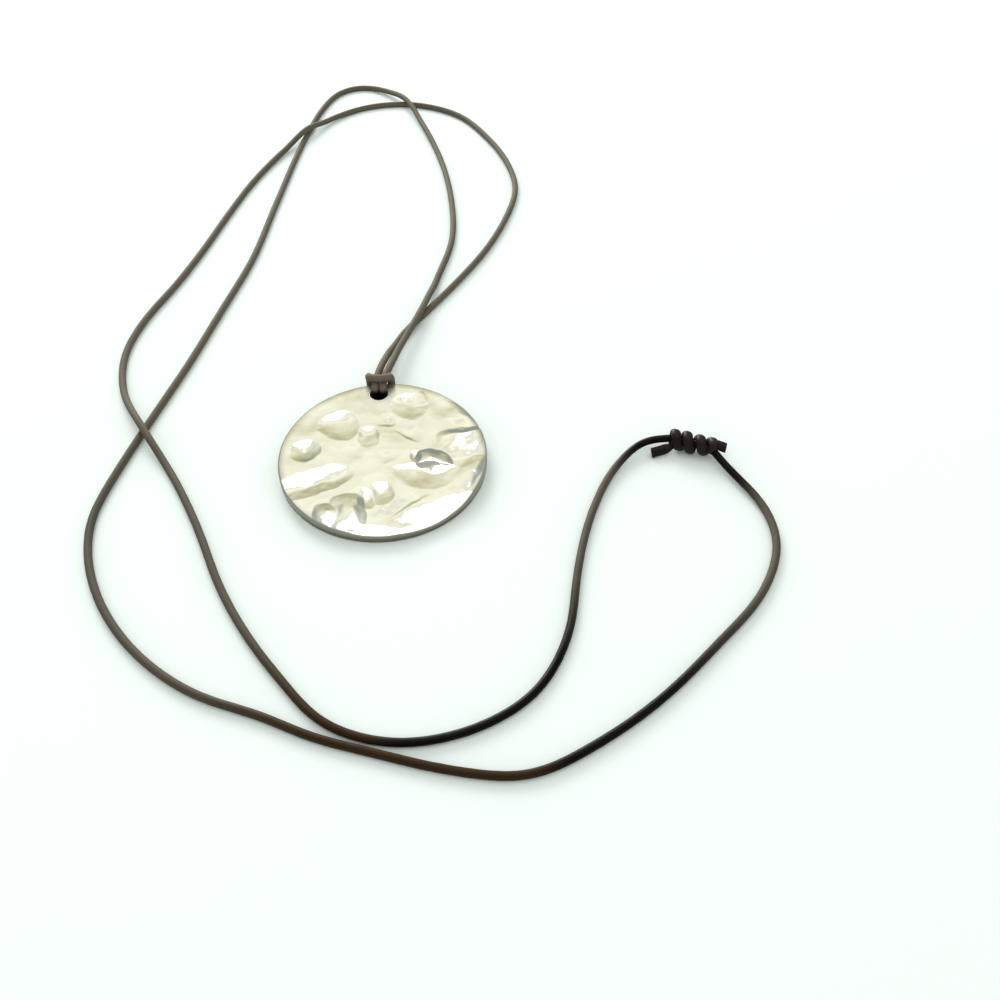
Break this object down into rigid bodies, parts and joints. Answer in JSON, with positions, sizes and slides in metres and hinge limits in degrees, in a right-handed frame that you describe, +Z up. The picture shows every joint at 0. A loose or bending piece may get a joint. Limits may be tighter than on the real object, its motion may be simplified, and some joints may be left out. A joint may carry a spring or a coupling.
{
  "type": "pendant necklace",
  "caption": "Round hammered metal pendant on a long waxed cord loop, hitched through a rim hole and closed with sliding knots.",
  "frame": {"origin": "on the surface that the necklace lies on, under the middle of the pendant disc", "axes": "+Z up from the surface, +Y away from the viewer towards the disc's hole and the far loop of cord, +X to the right"},
  "size_m": [0.0995, 0.172, 0.0053],
  "materials": {
    "hammered_silver": "polished hammered silver plate with light tarnish in the hollows",
    "waxed_cord": "waxed twisted cord, slightly glossy",
    "waxed_knot": "waxed twisted cord, slightly glossy"
  },
  "bodies": {
    "root": {"pendant_disc": "hammered_silver", "cord_hitch": "waxed_cord", "cord_strand_left": "waxed_cord", "cord_strand_right": "waxed_cord", "slide_knot_left": "waxed_knot", "slide_knot_right": "waxed_knot"}
  },
  "joints": []
}
